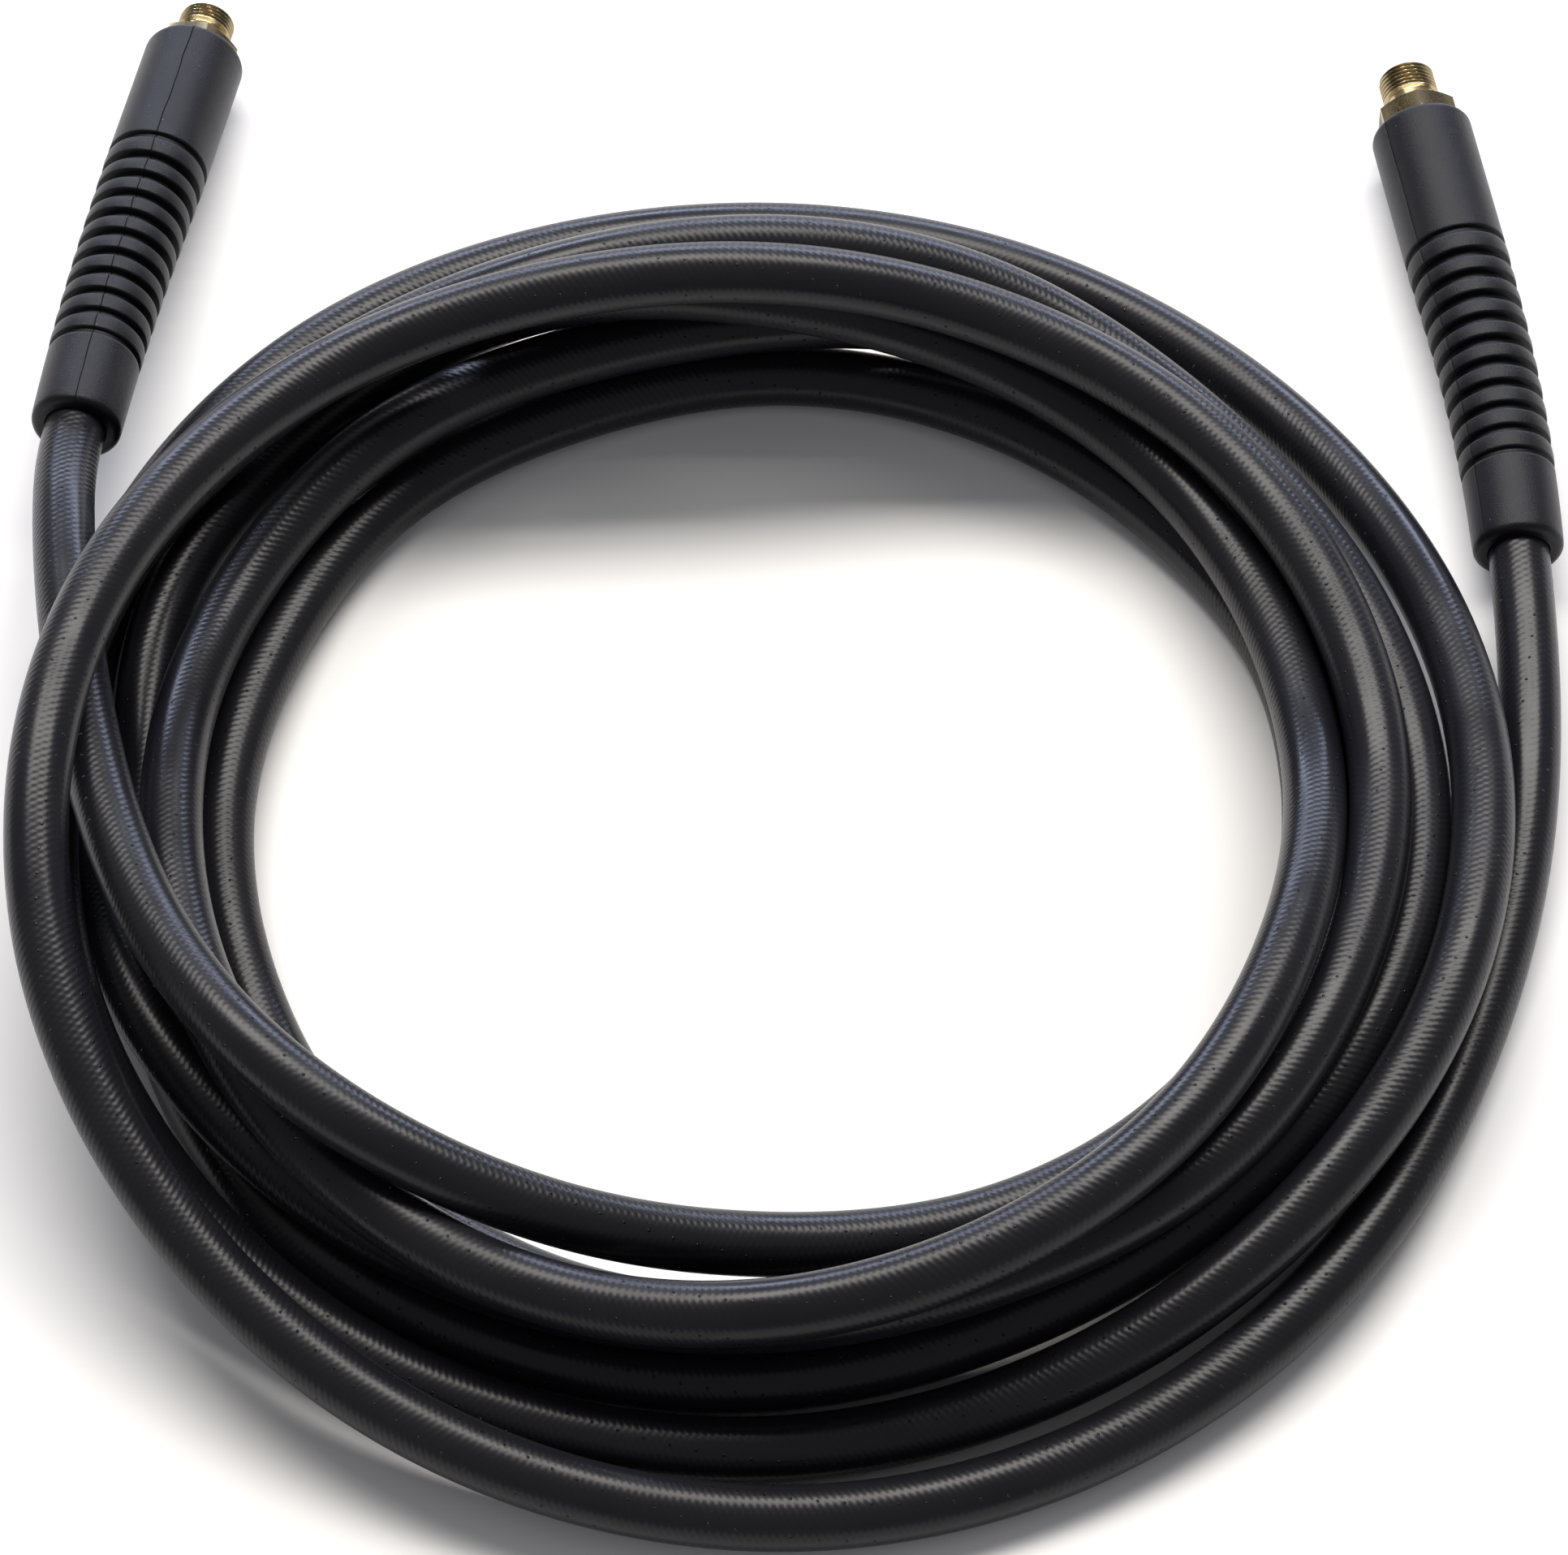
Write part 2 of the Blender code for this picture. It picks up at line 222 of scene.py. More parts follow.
# %% The middle line
def smooth_curve(points, steps):
    """The natural cubic spline through points, steps to each span.

    With h the spans' lengths and s their slopes, the bends m solve
    h0*m0 + 2*(h0 + h1)*m1 + h1*m2 = 6*(s1 - s0) at each inner point.
    """
    spans = np.linalg.norm(np.diff(points, axis=0), axis=1)
    slopes = np.diff(points, axis=0) / spans[:, None]
    inner = np.arange(1, len(points) - 1)
    system = np.eye(len(points))
    wanted = np.zeros((len(points), 3))
    system[inner, inner - 1] = spans[:-1]
    system[inner, inner] = 2 * (spans[:-1] + spans[1:])
    system[inner, inner + 1] = spans[1:]
    wanted[inner] = 6 * np.diff(slopes, axis=0)
    bends = np.linalg.solve(system, wanted)
    share = np.tile(np.arange(steps) / steps, len(spans))[:, None]
    span = np.repeat(np.arange(len(spans)), steps)
    width = spans[span][:, None]
    curved = ((1 - share) ** 3 - (1 - share)) * bends[span] + (share ** 3 - share) * bends[span + 1]
    line = (1 - share) * points[span] + share * points[span + 1] + width ** 2 / 6 * curved
    return np.vstack([line, points[-1:]])


HOSE_STEPS = 16
middle_line = smooth_curve(route, HOSE_STEPS) + to_origin
hose_along = np.r_[0, np.cumsum(np.linalg.norm(np.diff(middle_line, axis=0), axis=1))]
print("hose length in m:", round(hose_along[-1], 3), "from", len(middle_line), "points")

# %% [markdown]
# ## Surfaces from numpy grids
#
# Every new piece is a grid of points: rings one after the other, with the same number of points in
# each. Working the points out as whole arrays keeps the formula in sight, and the grid's faces and
# its UV map follow from counting. U runs along the piece and V once around it, both in units that
# the materials can turn into millimetres.


# %% Grid to mesh
def surface_piece(name, points, u, v, capped=False):
    """A piece from rings of points, closed around, with U = u[ring] and V = v[column].

    v has one value more than a ring has points, because the last column of faces comes back to the
    first point. With capped, each end ring is closed by a fan of triangles to its middle.
    """
    rings, columns = points.shape[:2]
    ring, column = np.meshgrid(np.arange(rings - 1), np.arange(columns), indexing="ij")
    beside = (column + 1) % columns
    quads = np.stack([ring * columns + column, ring * columns + beside,
                      (ring + 1) * columns + beside, (ring + 1) * columns + column], axis=-1)
    corners_u = np.stack([u[ring], u[ring], u[ring + 1], u[ring + 1]], axis=-1)
    corners_v = np.stack([v[column], v[column + 1], v[column + 1], v[column]], axis=-1)
    uv = np.stack([corners_u, corners_v], axis=-1).reshape(-1, 2)
    places = points.reshape(-1, 3)
    face_list = quads.reshape(-1, 4).tolist()
    if capped:
        around = np.arange(columns)
        after = (around + 1) % columns
        last = (rings - 1) * columns
        places = np.vstack([places, points[0].mean(axis=0), points[-1].mean(axis=0)])
        start_fan = np.stack([after, around, np.full(columns, rings * columns)], axis=1)
        end_fan = np.stack([last + around, last + after, np.full(columns, rings * columns + 1)], axis=1)
        face_list += start_fan.tolist() + end_fan.tolist()
        fan_v = np.repeat(v[:-1], 3)
        uv = np.vstack([uv, np.stack([np.full(3 * columns, u[0]), fan_v], axis=1),
                        np.stack([np.full(3 * columns, u[-1]), fan_v], axis=1)])
    mesh = bpy.data.meshes.new(name)
    mesh.from_pydata(places.tolist(), [], face_list)
    mesh.uv_layers.new(name="along_around").data.foreach_set("uv", uv.astype(np.float32).ravel())
    mesh.shade_smooth()
    piece = bpy.data.objects.new(name, mesh)
    bpy.context.scene.collection.objects.link(piece)
    print(name, "has", len(mesh.vertices), "points and", len(mesh.polygons), "faces")
    return piece


# %% [markdown]
# ## The hose
#
# The tube is the middle line with a ring of 32 points at each step, fine enough that its outline is
# round at any size it is seen. A bevelled curve would give the same shape, but no even UV map, and
# the marks on this rubber follow the hose round every turn. The seam of the map lies underneath.

# %% The hose
HOSE_SIDES = 32
CIRCUMFERENCE = math.pi * HOSE_DIAMETER
hose_direction = np.gradient(middle_line, hose_along, axis=0)
hose_direction /= np.linalg.norm(hose_direction, axis=1)[:, None]
across, upward = ring_frames(hose_direction)
turn_angle = -math.pi / 2 - 2 * math.pi * np.arange(HOSE_SIDES) / HOSE_SIDES
out = np.cos(turn_angle)[:, None] * across[:, None] + np.sin(turn_angle)[:, None] * upward[:, None]
hose = surface_piece("rubber_hose", middle_line[:, None] + HOSE_DIAMETER / 2 * out,
                     hose_along / CIRCUMFERENCE, np.arange(HOSE_SIDES + 1) / HOSE_SIDES, capped=True)

# %% [markdown]
# ## The grips
#
# Each grip is moulded soft rubber: a plain thick end, eleven grooves, and a plain collar that ends
# over the hose. The grooves let it bend, so that the hose does not kink beside the steel. Their walls
# are nearly square: from the front one sees a groove's far wall as a black band, a strip of its
# floor, and then the bright edge of the next rib. The grooves next to the plain parts are narrower
# and shallower, which leads the eye gently into those. The ribs in between are slightly crowned.

# %% Profile of a grip
# Width and depth of each groove in mm, from the hose's side to the fitting's side
GROOVES = np.array([(1.9, 1.1), (2.4, 1.8), (2.6, 2.1), (2.8, 2.3), (3.0, 2.5), (3.1, 2.5), (3.1, 2.5),
                    (3.1, 2.5), (3.1, 2.5), (3.1, 2.5), (2.1, 1.3)]) * MM
EDGE_RADIUS = 2.2 * MM
RIB_EDGE = 0.30 * MM
RIB_CROWN = 0.15 * MM
WALL_LEAN = 0.1
FLOOR_BEVEL = 0.15 * MM
FLOOR_BEVEL_HEIGHT = 0.12 * MM


def plain_radius(along):
    """The grip's outer radius without its grooves: an even taper, then one thickness."""
    share = np.clip(along / (GRIP_LENGTH - GRIP_TOP_PLAIN), 0, 1)
    return (GRIP_LOW_DIAMETER + (GRIP_TOP_DIAMETER - GRIP_LOW_DIAMETER) * share) / 2


def groove_middles():
    first = GRIP_LOW_PLAIN + GROOVE_WIDTH / 2
    last = GRIP_LENGTH - GRIP_TOP_PLAIN - GROOVE_WIDTH / 2
    return first + (last - first) * np.arange(GROOVE_COUNT) / (GROOVE_COUNT - 1)


def rounded_groove(near, far, depth):
    """Distances and radius changes across one groove, from rim to rim over a flat floor.

    Five points close together make each rim, a 45 degree bevel that smooth shading rounds. The walls
    lean by a tenth of the depth, as a mould needs, and a small bevel joins them to the floor.
    """
    rim = RIB_EDGE * np.cos(np.radians(np.linspace(0, 90, 5)))
    lean = WALL_LEAN * depth
    near_wall = near + np.array([0.3 * lean, lean, lean + FLOOR_BEVEL])
    far_wall = far - np.array([lean + FLOOR_BEVEL, lean, 0.3 * lean])
    along = np.r_[near - rim, near_wall, (near + far) / 2, far_wall, far + rim[::-1]]
    wall_drop = np.array([0.8 * depth, depth - FLOOR_BEVEL_HEIGHT, depth])
    drop = np.r_[RIB_EDGE - rim, wall_drop, depth, wall_drop[::-1], RIB_EDGE - rim[::-1]]
    return along, -drop


def grip_profile():
    """Distances along the grip and radii there: from the hose's side to the thick end.

    Each rib between two grooves is crowned: its radius adds RIB_CROWN * (1 - x^2), with x from -1
    to 1 across the rib.
    """
    far_edges = groove_middles() + GROOVE_WIDTH / 2
    near_edges = far_edges - GROOVES[:, 0]
    round_off = np.radians(np.linspace(0, 90, 7))
    low, top = plain_radius(0.0), plain_radius(GRIP_LENGTH)
    along = [EDGE_RADIUS * (1 - np.sin(round_off))[::-1]]
    radius = [low - EDGE_RADIUS * (1 - np.cos(round_off))[::-1]]
    along.append(np.linspace(4 * MM, near_edges[0] - 1 * MM, 9))
    radius.append(plain_radius(along[-1]))
    for count in range(GROOVE_COUNT):
        across_groove, change = rounded_groove(near_edges[count], far_edges[count],
                                               GROOVES[count, 1])
        along.append(across_groove)
        radius.append(plain_radius(across_groove) + change)
        if count < GROOVE_COUNT - 1:
            x = np.linspace(-0.8, 0.8, 7)
            start, stop = far_edges[count] + RIB_EDGE, near_edges[count + 1] - RIB_EDGE
            along.append((start + stop) / 2 + x * (stop - start) / 2)
            radius.append(plain_radius(along[-1]) + RIB_CROWN * (1 - x ** 2))
    along.append(np.linspace(GRIP_LENGTH - GRIP_TOP_PLAIN + 1 * MM, GRIP_LENGTH - 3 * MM, 12))
    radius.append(plain_radius(along[-1]))
    along.append(GRIP_LENGTH - EDGE_RADIUS * (1 - np.sin(round_off)))
    radius.append(top - EDGE_RADIUS * (1 - np.cos(round_off)))
    return np.concatenate(along), np.concatenate(radius)


profile_along, profile_radius = grip_profile()
print("a grip's profile has", len(profile_along), "rings, ribs",
      round(1000 * np.diff(groove_middles())[0], 2), "mm apart")

# %% [markdown]
# ## Carrying the profile round the bowed line
#
# A point of a grip is found from three numbers: how far along, how far out, and at what angle. The
# ends are closed by rings that run in to the bore, where the hose goes in or the fitting's hexagon
# covers the rubber. The angles are even except beside the parting line, where the halves of the mould
# met and left a fine cut: seven columns close together give it its lips and its floor. The whole ring
# of points turns a little to and fro along the grip, so that the line wanders as the real one does,
# in two waves and one kink near the hose.

# %% The grips
GRIP_COLUMNS = 96
CLOSING_RINGS = 4
BORE_RINGS = 10
SEAM_WIDTH = 0.30 * MM
SEAM_DEPTH = 0.35 * MM
SEAM_LIP = 0.05 * MM
# Degrees from straight up to the seam, and degrees that it wanders
PARTING = {"left": 3.0, "right": -53.0}
SEAM_WANDER = {"left": 0.6, "right": 0.25}
# Each wave has its share, its radians to the metre and its start; the kink its share, place and width
SEAM_WAVES = ((1.0, 210.0, 0.0), (0.6, 520.0, 1.0))
SEAM_KINK = (1.6, 20 * MM, 5 * MM)


def grip_columns(seam):
    """Angles round a grip, measured from straight up, with extra ones close beside the seam."""
    even = np.linspace(0, 2 * math.pi, GRIP_COLUMNS, endpoint=False)[1:]
    close = np.array([-1.0, -0.55, -0.25, 0.0, 0.25, 0.55, 1.0]) * SEAM_WIDTH / (GRIP_TOP_DIAMETER / 2)
    even = even[(even > close[-1]) & (even < 2 * math.pi + close[0])]
    return np.sort(seam + np.concatenate([close, even]))


def seam_wander(along):
    """How the seam strays to either side, as a share of SEAM_WANDER."""
    waves = sum(share * np.sin(along * per_metre + start) for share, per_metre, start in SEAM_WAVES)
    share, middle, width = SEAM_KINK
    return waves + share * np.exp(-((along - middle) / width) ** 2)


def around_line(end, along, radius, angle):
    """Points at these distances along a grip's line, radii and angles from straight up."""
    middle, direction = grip_line(end, along)
    across, upward = ring_frames(direction)
    out = np.cos(angle)[..., None] * upward[:, None] - np.sin(angle)[..., None] * across[:, None]
    return to_origin + middle[:, None] + radius[..., None] * out


def make_grip(side):
    parting = math.radians(PARTING[side])
    angle = grip_columns(parting)
    bore = HOSE_DIAMETER / 2 + GAP
    inward = np.linspace(0, 1, CLOSING_RINGS + 1)[1:]
    low_in = profile_radius[0] + (bore - profile_radius[0]) * inward[::-1]
    top_in = profile_radius[-1] + (bore - profile_radius[-1]) * inward
    along = np.concatenate([np.zeros(CLOSING_RINGS), profile_along, np.full(CLOSING_RINGS, GRIP_LENGTH),
                            np.linspace(GRIP_LENGTH, 0, BORE_RINGS + 2)[1:]])
    radius = np.concatenate([low_in, profile_radius, top_in, np.full(BORE_RINGS + 1, bore)])
    radius = np.repeat(radius[:, None], len(angle), axis=1)
    off_seam = np.abs((angle - parting) * GRIP_TOP_DIAMETER / 2) / SEAM_WIDTH
    lips = SEAM_LIP * np.clip(1 - np.abs(off_seam - 0.6) / 0.4, 0, 1)
    cut = SEAM_DEPTH * np.clip(1 - off_seam / 0.5, 0, 1)
    radius[CLOSING_RINGS + 2:CLOSING_RINGS + len(profile_along) - 2] += lips - cut
    turned = angle[None, :] + math.radians(SEAM_WANDER[side]) * seam_wander(along)[:, None]
    points = around_line(ENDS[side], along, radius, turned)
    turn = (np.r_[angle, angle[0] + 2 * math.pi] - parting) / (2 * math.pi)
    return surface_piece("ribbed_grip_" + side, points, along / CIRCUMFERENCE, turn)


grips = {side: make_grip(side) for side in ENDS}

# %% [markdown]
# ## The fittings
#
# Each fitting is turned from steel bar: a hexagon for the wrench, a plain neck and a thread cut to
# the tip. A thread is a helix, so its radius depends on both the place along the axis and the angle:
# going once round moves the groove by one pitch. The hexagon is the smaller of two radii, the
# chamfered disc and the six flats, which gives the curved corners that a lathe leaves on a nut.
# Each point also keeps a value called film, which tells the finish where the zinc is dull: 1 in the
# grooves and on the flats, and 0 on the crests and the corners.

# %% The fittings
FITTING_COLUMNS = 120
RINGS_PER_PITCH = 16
THREAD_RUN_OUT = 1.2 * MM
TIP_CHAMFER = 0.9 * MM
FACE_RIM = 0.8 * MM
COUNTERSINK = 0.4 * MM
# How long and how deep the hexagon's bevels are, beside the grip and towards the neck
HEX_BACK = (0.2 * MM, 0.6 * MM)
HEX_FRONT = (1.0 * MM, 2.0 * MM)
HEX_WEAR = 0.05 * MM
# Degrees from straight up to the middle of a flat
HEX_TURN = {"left": -12.0, "right": 27.0}
# The fillet between hexagon and neck: mm along from the hexagon's face, and mm out from the neck
NECK_FILLET = ((0.0, 0.5), (0.0, 0.35), (0.15, 0.1), (0.4, 0.0))


def thread_radius(below_tip, angle, length):
    """Radius of the threaded part at distances below the tip and angles round the axis.

    The groove is a triangle wave of the distance less angle/360 of a pitch, with its crest and root
    cut flat. It fades out before the neck, and the tip's 45 degree chamfer cuts into it.
    """
    phase = (below_tip / THREAD_PITCH - angle / (2 * math.pi)) % 1.0
    wave = np.clip(np.abs(2 * phase - 1) * 1.25 - 0.125, 0, 1)
    fade = np.clip((length - below_tip) / THREAD_RUN_OUT, 0, 1)
    thread = THREAD_DIAMETER / 2 - THREAD_DEPTH * wave * fade
    return np.minimum(thread, THREAD_DIAMETER / 2 - TIP_CHAMFER + below_tip)


def hex_radius(angle, turn):
    """Distance to a hexagon's flats: the flat's distance over the cosine from its middle."""
    from_flat = (angle - turn + math.pi / 6) % (math.pi / 3) - math.pi / 6
    return HEX_ACROSS_FLATS / 2 / np.cos(from_flat)


def make_fitting(side):
    end = ENDS[side]
    seat = GRIP_LENGTH + GAP
    shoulder = seat + end["hex"]
    thread_start = shoulder + NECK_LENGTH
    tip = thread_start + end["thread"]
    stem, neck, bore = HOSE_DIAMETER / 2, NECK_DIAMETER / 2, FITTING_BORE / 2
    angle = 2 * math.pi * np.arange(FITTING_COLUMNS) / FITTING_COLUMNS
    corner = HEX_ACROSS_FLATS / 2 / math.cos(math.pi / 6)
    flats = hex_radius(angle, math.radians(HEX_TURN[side]))
    below = np.linspace(end["thread"], 0, int(end["thread"] / (THREAD_PITCH / RINGS_PER_PITCH)))
    threads = thread_radius(below[:, None], angle[None, :], end["thread"])

    rings = [(HOSE_IN_GRIP + GAP, bore), (HOSE_IN_GRIP + GAP, stem), (seat, stem)]
    for share in np.linspace(0, 1, 7):
        disc = corner - HEX_BACK[1] * (1 - share)
        rings.append((seat + HEX_BACK[0] * share, np.minimum(flats, disc)))
    for place in np.linspace(seat + 0.3 * MM, shoulder - HEX_FRONT[0], 6):
        rings.append((place, np.minimum(flats, corner - HEX_WEAR)))
    for share in np.linspace(0, 1, 10)[1:]:
        disc = corner - HEX_FRONT[1] * share
        rings.append((shoulder - HEX_FRONT[0] * (1 - share), np.minimum(flats, disc)))
    rings += [(shoulder + step * MM, neck + beyond * MM) for step, beyond in NECK_FILLET]
    rings += [(place, neck) for place in np.linspace(shoulder + 1 * MM, thread_start - 0.5 * MM, 4)]
    rings += list(zip(tip - below, threads))
    rings += [(tip, THREAD_DIAMETER / 2 - TIP_CHAMFER - FACE_RIM)] + [(tip, bore + COUNTERSINK)] * 2
    rings += [(tip - COUNTERSINK, bore), (tip - 8 * MM, bore), (HOSE_IN_GRIP + GAP, bore)]
    along = np.array([place for place, _ in rings])
    radius = np.array([size * np.ones(FITTING_COLUMNS) for _, size in rings])

    points = around_line(end, along, radius, angle[None, :].repeat(len(along), axis=0))
    turn = np.arange(FITTING_COLUMNS + 1) / FITTING_COLUMNS
    piece = surface_piece("threaded_fitting_" + side, points, along / CIRCUMFERENCE, turn)
    piece.data.set_sharp_from_angle(angle=math.radians(28))
    groove = np.clip((THREAD_DIAMETER / 2 - radius) / THREAD_DEPTH, 0, 1) ** 0.6
    groove *= (along > thread_start)[:, None]
    flat = np.clip((corner - radius) / (corner - HEX_ACROSS_FLATS / 2), 0, 1) ** 0.5
    film = np.where((along < shoulder - HEX_WEAR)[:, None], flat, groove)
    piece.data.attributes.new("film", "FLOAT", "POINT").data.foreach_set("value", film.ravel())
    return piece


fittings = {side: make_fitting(side) for side in ENDS}

# %% [markdown]
# ## Colours and nodes
#
# Colours are written as sRGB hex values, the way a paint chart gives them, and one function turns
# them into the linear values that the shader works with. A second one adds a node with its settings
# and its inputs, and a third fills the inputs of a node, new or not.


# %% Helpers for materials
def linear(hex_colour):
    """An sRGB hex colour as linear values: x/12.92 when dark, else ((x + 0.055)/1.055)^2.4."""
    channel = np.array([int(hex_colour[k:k + 2], 16) for k in (1, 3, 5)]) / 255
    bright = ((channel + 0.055) / 1.055) ** 2.4
    return (*np.where(channel <= 0.04045, channel / 12.92, bright).tolist(), 1.0)


def feed(node, *values, **named):
    """Fills a node's inputs: the first ones in their order, others by name, with _ for a blank.

    A value is a number, a colour, a socket, or a node, whose first output in use is meant.
    """
    by_name = [(name.replace("_", " "), value) for name, value in named.items()]
    for place, value in [*enumerate(values), *by_name]:
        if isinstance(value, bpy.types.Node):
            value = next(output for output in value.outputs if output.enabled)
        if isinstance(value, bpy.types.NodeSocket):
            node.id_data.links.new(value, node.inputs[place])
        else:
            node.inputs[place].default_value = value


def add(tree, kind, *values, **named):
    """Adds a node. Names in lower case are its own settings, and the rest is fed to its inputs."""
    node = tree.nodes.new("ShaderNode" + kind)
    for name in [name for name in named if name.islower()]:
        setattr(node, name, named.pop(name))
    feed(node, *values, **named)
    return node


def new_material(name, colour, roughness, metallic=0.0, specular=0.5):
    """A material with its Principled shader set. The IOR stays at 1.5, which suits rubber and paper."""
    material = bpy.data.materials.new(name)
    material.use_nodes = True
    shader = material.node_tree.nodes["Principled BSDF"]
    feed(shader, Base_Color=linear(colour), Roughness=roughness, Metallic=metallic,
         Specular_IOR_Level=specular)
    return material, material.node_tree, shader


# %% [markdown]
# ## Black hose rubber
#
# The cover is nitrile rubber, cured under a cloth wrap. Two things show in its shine. The braid
# underneath has wires that cross, 14 each way, and pushes the cover up in small bumps two millimetres
# apart, which break a highlight into a row of beads. They come and go in patches, as the cover is
# thicker or thinner. And the cover is pricked with needles every seven millimetres, so that gas can
# leave it. Each prick is a small dent, and its colour is darkened as painted shade inside the hole.
#
# The height of one lay of wires is cos(2*pi*14*(v + u*lean)), and a prick is the distance to the
# middle of its own cell in a grid of u and v that slants a little. The grain is really far finer: it
# is drawn a millimetre wide, because it would not show otherwise.

# %% Black hose rubber
BRAID_PITCH = 2.0 * MM
BRAID_WIRES = 14
BRAID_HEIGHT = 0.028 * MM
LEFT_LAY = 0.45
PATCH_SIZE = 500 * MM / 13
HOSE_GRAIN = 10 * MM / 9
HOSE_GRAIN_HEIGHT = 0.02 * MM
PRICK_SPACING = 7.0 * MM
PRICK_ROWS = 5
PRICK_SLANT = 0.15
PRICK_RADIUS = 0.35 * MM
PRICK_DEPTH = 0.25 * MM

rubber, tree, shader = new_material("nitrile_rubber_cloth_cured", "#14141a", 0.26, specular=0.26)
place = add(tree, "TexCoord").outputs["Object"]
hose_u, hose_v = add(tree, "SeparateXYZ", add(tree, "UVMap", uv_map="along_around")).outputs[:2]
lean = CIRCUMFERENCE / BRAID_PITCH / BRAID_WIRES
lays = []
for to_side in (lean, -lean):
    wires = add(tree, "Math", hose_u, to_side, hose_v, operation="MULTIPLY_ADD")
    wires = add(tree, "Math", wires, 2 * math.pi * BRAID_WIRES, operation="MULTIPLY")
    lays.append(add(tree, "Math", wires, operation="COSINE"))
beads = add(tree, "Math", lays[1], LEFT_LAY, lays[0], operation="MULTIPLY_ADD")
patches = add(tree, "TexNoise", Vector=place, Scale=1 / PATCH_SIZE, Detail=3.0, Roughness=0.55)
shows = add(tree, "MapRange", patches, 0.35, 0.62, 0.25, 1.0)
beads = add(tree, "Math", beads, shows, operation="MULTIPLY")
grain = add(tree, "TexNoise", Vector=place, Scale=1 / HOSE_GRAIN, Detail=2.0)

slanted_v = add(tree, "Math", hose_u, PRICK_SLANT, hose_v, operation="MULTIPLY_ADD")
cell = add(tree, "CombineXYZ", hose_u, slanted_v)
cells_to_turn = (CIRCUMFERENCE / PRICK_SPACING, PRICK_ROWS, 0)
cell_size = (PRICK_SPACING, CIRCUMFERENCE / PRICK_ROWS, 0)
cell = add(tree, "VectorMath", cell, cells_to_turn, operation="MULTIPLY")
cell = add(tree, "VectorMath", cell, operation="FRACTION")
cell = add(tree, "VectorMath", cell, (0.5, 0.5, 0), operation="SUBTRACT")
cell = add(tree, "VectorMath", cell, cell_size, operation="MULTIPLY")
prick_dent_and_shade = add(tree, "MapRange", add(tree, "VectorMath", cell, operation="LENGTH"), 0.4 * PRICK_RADIUS,
            1.3 * PRICK_RADIUS, 1.0, 0.0, interpolation_type="SMOOTHSTEP")

height = add(tree, "Math", beads, BRAID_HEIGHT, operation="MULTIPLY")
height = add(tree, "Math", grain, HOSE_GRAIN_HEIGHT, height, operation="MULTIPLY_ADD")
height = add(tree, "Math", prick_dent_and_shade, -PRICK_DEPTH, height, operation="MULTIPLY_ADD")
tone = add(tree, "Mix", data_type="RGBA", Factor=patches, A=linear("#131319"), B=linear("#1c1c20"))
# Painted shade: each needle prick is darkened to near black, for the shade inside the hole.
tone = add(tree, "Mix", data_type="RGBA", Factor=prick_dent_and_shade, A=tone, B=linear("#050506"))
feed(shader, Base_Color=tone, Roughness=add(tree, "MapRange", patches, 0.3, 0.7, 0.25, 0.38),
     Normal=add(tree, "Bump", Strength=1.0, Distance=1.0, Height=height))
hose.data.materials.append(rubber)
print(rubber.name, "has", len(tree.nodes), "nodes")

# %% [markdown]
# ## Black grip rubber
#
# The grips come from a mould whose walls were blasted, so their rubber is matt with a fine grain. It
# scatters light widely and looks greyer and bluer than the hose beside it. The real grain is about a
# tenth of a millimetre: it is drawn four times as coarse, so that it shows. The cut of the parting
# line is dull, painted shade makes the cut black, and a few pale specks of dust lie on the rubber.

# %% Black grip rubber
GRAIN_SIZE = 0.4 * MM
GRAIN_HEIGHT = 0.13 * MM
WAVE_SIZE = 50 * MM / 3
WAVE_HEIGHT = 0.2 * MM
SEAM_SHOWS = 0.22 * MM
DUST_SPACING = 6.0 * MM
DUST_SIZE = 0.22 * MM

grip_rubber, tree, shader = new_material("moulded_rubber_blasted_grain", "#101016", 0.36, specular=0.20)
place = add(tree, "TexCoord").outputs["Object"]
grain = add(tree, "TexNoise", Vector=place, Scale=1 / GRAIN_SIZE, Detail=3.0, Roughness=0.6)
waves = add(tree, "TexNoise", Vector=place, Scale=1 / WAVE_SIZE, Detail=3.0)
height = add(tree, "Math", waves, WAVE_HEIGHT, operation="MULTIPLY")
height = add(tree, "Math", grain, GRAIN_HEIGHT, height, operation="MULTIPLY_ADD")
grip_v = add(tree, "SeparateXYZ", add(tree, "UVMap", uv_map="along_around")).outputs[1]
from_seam = add(tree, "Math", grip_v, math.pi * GRIP_TOP_DIAMETER, operation="MULTIPLY")
seam = add(tree, "MapRange", add(tree, "Math", from_seam, operation="ABSOLUTE"), 0.4 * SEAM_SHOWS,
           SEAM_SHOWS, 1.0, 0.0, interpolation_type="SMOOTHSTEP")
specks = add(tree, "TexVoronoi", Vector=place, Scale=1 / DUST_SPACING)
dust = add(tree, "MapRange", specks, 0.5 * DUST_SIZE / DUST_SPACING, DUST_SIZE / DUST_SPACING,
           0.6, 0.0, interpolation_type="SMOOTHSTEP")
tone = add(tree, "Mix", data_type="RGBA", Factor=waves, A=linear("#0b0b10"), B=linear("#121218"))
tone = add(tree, "Mix", data_type="RGBA", Factor=dust, A=tone, B=linear("#8e8e98"))
# Painted shade: the parting line's cut is darkened to near black, for the shade inside it.
tone = add(tree, "Mix", data_type="RGBA", Factor=seam, A=tone, B=linear("#030304"))
feed(shader, Base_Color=tone, Roughness=add(tree, "MapRange", seam, To_Min=0.36, To_Max=0.9),
     Normal=add(tree, "Bump", Strength=1.0, Distance=1.0, Height=height))
for grip in grips.values():
    grip.data.materials.append(grip_rubber)
print(grip_rubber.name, "has", len(tree.nodes), "nodes")

# %% [markdown]
# ## Yellow zinc on turned steel
#
# The fittings are steel with zinc, passivated yellow. The turned ridges are bright and pale, and the
# film is thicker and browner in the grooves and on the flats. The real crystals are too fine to see:
# they are drawn half a millimetre wide, as the mottled look that they give a worn flat.

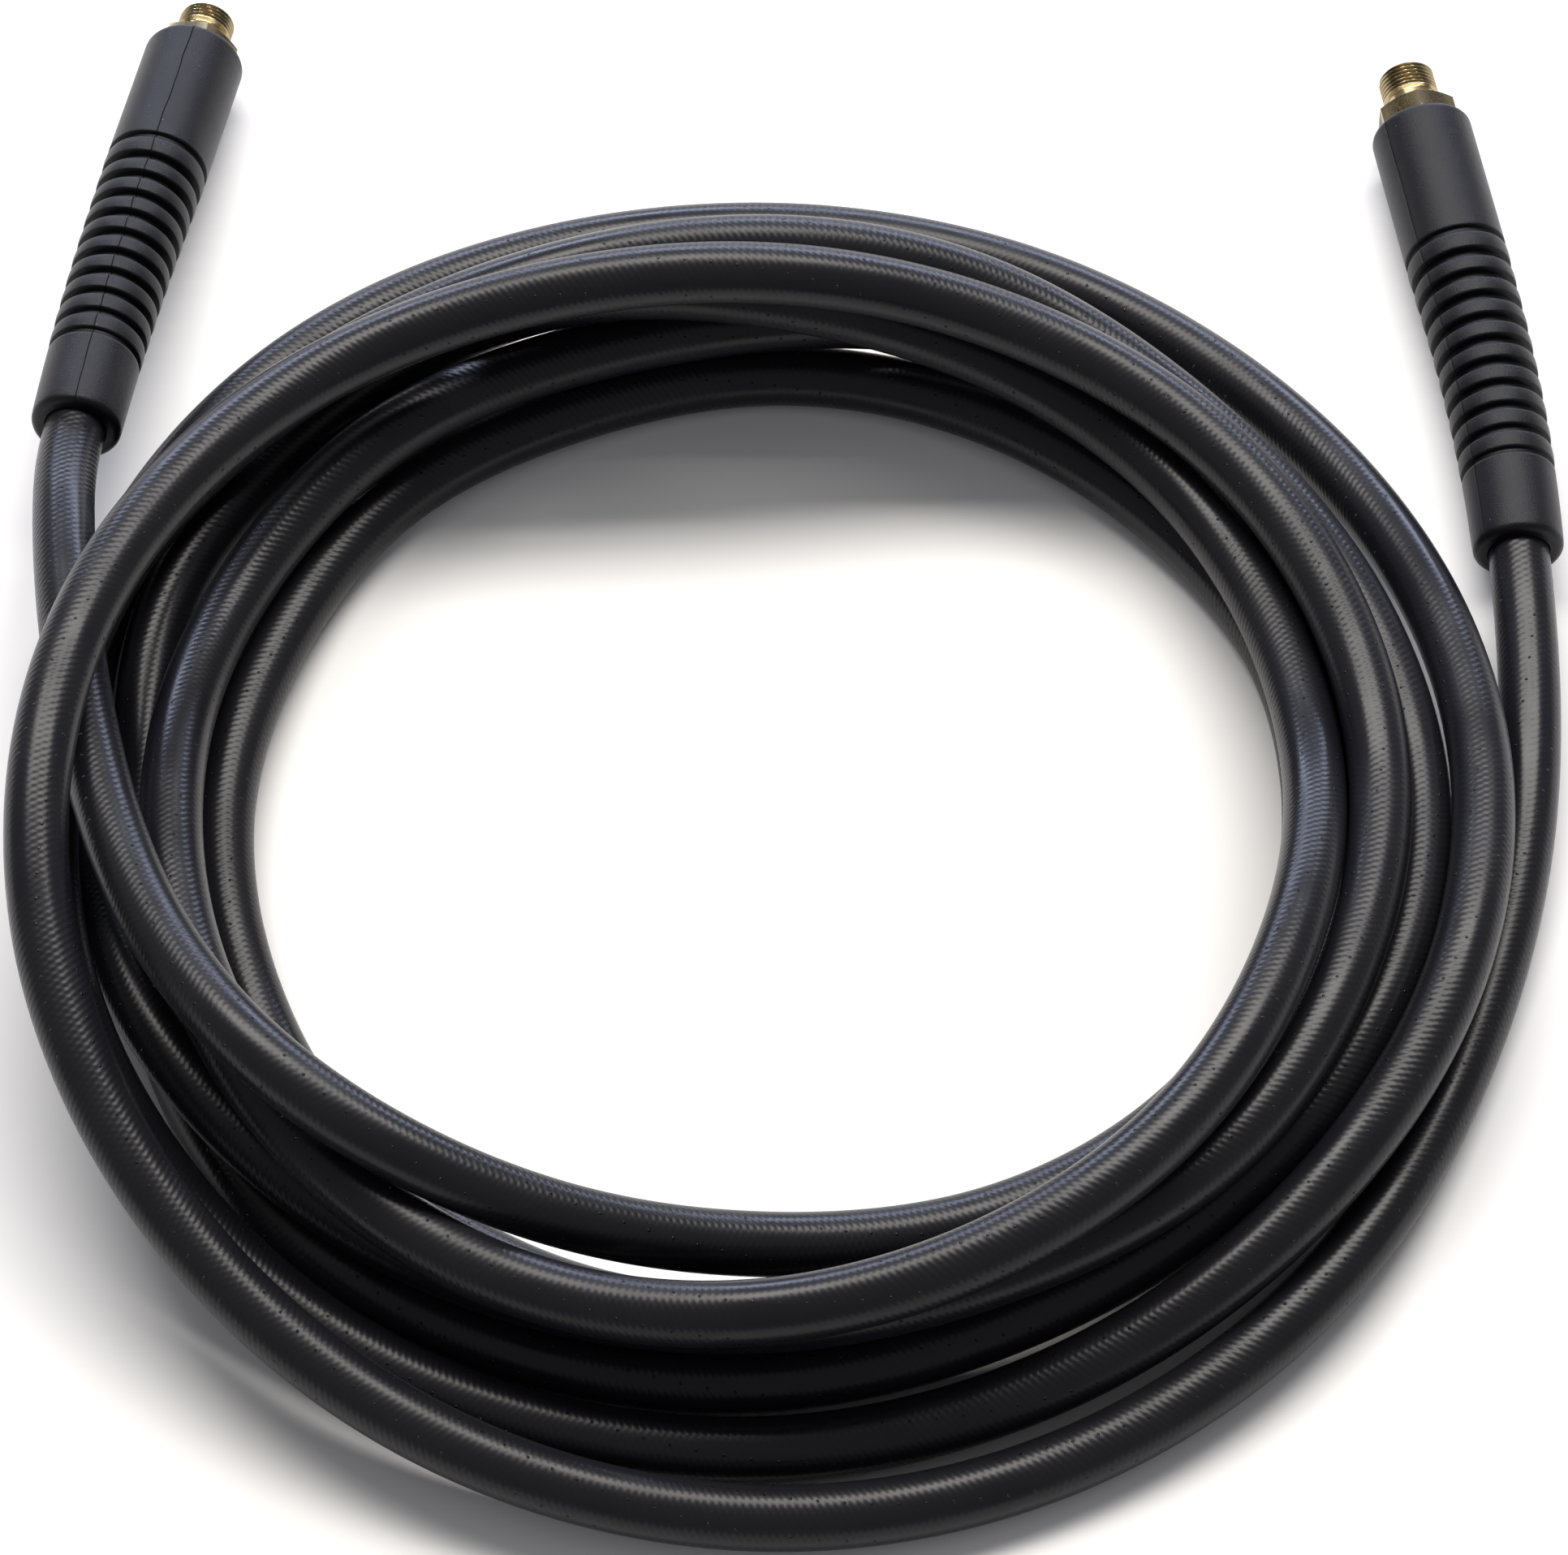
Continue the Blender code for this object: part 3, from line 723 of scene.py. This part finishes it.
# %% Yellow zinc
ZINC_CRYSTALS = 0.5 * MM
CRYSTAL_HEIGHT = 0.02 * MM
STAIN_SIZE = 50 * MM / 7

zinc, tree, shader = new_material("yellow_passivated_zinc", "#b9a67c", 0.30, metallic=1.0)
place = add(tree, "TexCoord").outputs["Object"]
film = add(tree, "Attribute", attribute_name="film").outputs["Fac"]
crystals = add(tree, "TexNoise", Vector=place, Scale=1 / ZINC_CRYSTALS, Detail=4.0, Roughness=0.65)
stain = add(tree, "TexNoise", Vector=place, Scale=1 / STAIN_SIZE, Detail=3.0)
bright = add(tree, "Mix", data_type="RGBA", Factor=stain, A=linear("#c9bb98"), B=linear("#9a8763"))
dull = add(tree, "ValToRGB", crystals)
for stop, position, colour in zip(dull.color_ramp.elements, (0.40, 0.66), ("#2b2418", "#6f6247")):
    stop.position, stop.color = position, linear(colour)
tone = add(tree, "Mix", data_type="RGBA", Factor=film, A=bright, B=dull)
feed(shader, Base_Color=tone, Roughness=add(tree, "MapRange", film, To_Min=0.20, To_Max=0.42),
     Normal=add(tree, "Bump", Strength=0.5, Distance=CRYSTAL_HEIGHT, Height=crystals))
for fitting in fittings.values():
    fitting.data.materials.append(zinc)
print(zinc.name, "has", len(tree.nodes), "nodes")

# %% [markdown]
# ## Floor and light
#
# The hose lies on plain white paper. Black rubber shows its shape only by what it reflects, so the
# lights matter more than its colour: a wide cool one behind and low, and a broad warm one overhead.
# A faint white sky fills the shadows. Sizes and places are in metres, and power is in watts.

# %% Floor
FLOOR_SIZE = 12.0
half = FLOOR_SIZE / 2
corners = [(-half, -half, 0), (half, -half, 0), (half, half, 0), (-half, half, 0)]
floor_mesh = bpy.data.meshes.new("floor")
floor_mesh.from_pydata(corners, [], [(0, 1, 2, 3)])
floor_mesh.materials.append(new_material("white_studio_paper", "#f4f4f4", 0.9)[0])
floor = bpy.data.objects.new("floor", floor_mesh)
bpy.context.scene.collection.objects.link(floor)
print("floor is", FLOOR_SIZE, "m wide")


# %% Lights
def soft_light(name, place, aim, size, power, colour):
    """A rectangular light, turned so that it faces the point it aims at."""
    data = bpy.data.lights.new(name, "AREA")
    data.shape = "RECTANGLE"
    data.size, data.size_y = size
    data.energy = power
    data.color = linear(colour)[:3]
    light = bpy.data.objects.new(name, data)
    light.location = place
    back = np.array(place) - np.array(aim)
    tilt = math.atan2(math.hypot(back[0], back[1]), back[2])
    light.rotation_euler = (tilt, 0.0, math.atan2(back[0], -back[1]))
    bpy.context.scene.collection.objects.link(light)


soft_light("overhead", (0.0, 1.35, 2.6), (0, 0, 0), (3.2, 0.90), 125, "#fffaf4")
soft_light("window", (0.0, 2.9, 0.9), (0, 0, 0.05), (3.6, 0.35), 84, "#d8e2ff")
world = bpy.data.worlds.new("studio")
world.use_nodes = True
feed(world.node_tree.nodes["Background"], Color=linear("#f6f6fa"), Strength=0.30)
bpy.context.scene.world = world
bpy.context.scene.view_settings.view_transform = "Standard"

# %% [markdown]
# ## What stands for what
#
# Each fine piece replaces the plain solid in its place and rides on the one body of this object.

# %% Bodies and nodes
body = sorted(frame["bodies"])[0]
for piece, node, slot in [(hose, "hose", "hose_rubber")] + [
        (grips[side], "grip_" + side, "grip_rubber") for side in ENDS] + [
        (fittings[side], "fitting_" + side, "plated_steel") for side in ENDS]:
    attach(piece, body)
    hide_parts(node)
